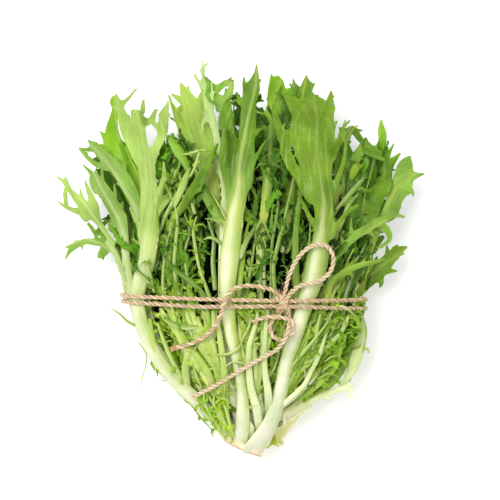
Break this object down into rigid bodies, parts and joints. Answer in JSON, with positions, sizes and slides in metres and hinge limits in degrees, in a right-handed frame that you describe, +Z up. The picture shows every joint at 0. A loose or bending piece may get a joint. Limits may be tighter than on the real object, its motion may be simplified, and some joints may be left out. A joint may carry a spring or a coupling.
{
  "type": "curly endive head",
  "caption": "Head of curly endive lying on its side: ribbed leaves with frilly toothed blades fan out from a slanted cut stump and are tied with jute twine in a bow.",
  "frame": {"origin": "on the surface that the head lies on, under the middle of its outline", "axes": "+Y from the cut stump to the leaf tips, +Z up out of the surface, +X to the right with the tips pointing away"},
  "size_m": [0.2428, 0.2621, 0.0975],
  "materials": {
    "leaf_fresh": "satin",
    "leaf_deep": "satin",
    "leaf_pale": "satin",
    "leaf_silver": "satin",
    "leaf_yellow": "satin",
    "leaf_white": "satin",
    "heart": "satin",
    "stump": "matte",
    "twine": "matte"
  },
  "bodies": {
    "root": {"leaf_centre": "leaf_fresh", "leaf_right_broad": "leaf_fresh", "leaf_left_front": "leaf_fresh", "leaf_low_curl": "leaf_white", "leaf_low_yellow": "leaf_yellow", "leaf_under_middle": "leaf_deep", "leaf_under_left": "leaf_deep", "leaf_tall_slim": "leaf_pale", "leaf_middle_dark": "leaf_deep", "leaf_diagonal": "leaf_deep", "leaf_left_silver": "leaf_silver", "leaf_left_low": "leaf_silver", "leaf_right_side": "leaf_fresh", "leaf_right_slender": "leaf_silver", "leaf_right_low": "leaf_pale", "leaf_under_right": "leaf_deep", "leaf_back_pale": "leaf_pale", "leaf_folded": "leaf_pale", "leaf_top_right": "leaf_fresh", "leaf_right_arch": "leaf_pale", "leaf_left_upper": "leaf_silver", "leaf_left_tip": "leaf_yellow", "leaf_under_far_left": "leaf_deep", "leaf_under_far_right": "leaf_deep", "leaf_upper_left": "leaf_yellow", "leaf_right_tall": "leaf_yellow", "leaf_right_far": "leaf_yellow", "leaf_inner_left": "leaf_deep", "leaf_inner_stem": "leaf_fresh", "leaf_under_centre": "leaf_deep", "heart": "heart", "stump": "stump", "twine_turn_upper": "twine", "twine_turn_lower": "twine", "twine_knot": "twine", "twine_loop_right": "twine", "twine_tail_left": "twine", "twine_loop_low": "twine", "twine_tail_right": "twine"}
  },
  "joints": []
}
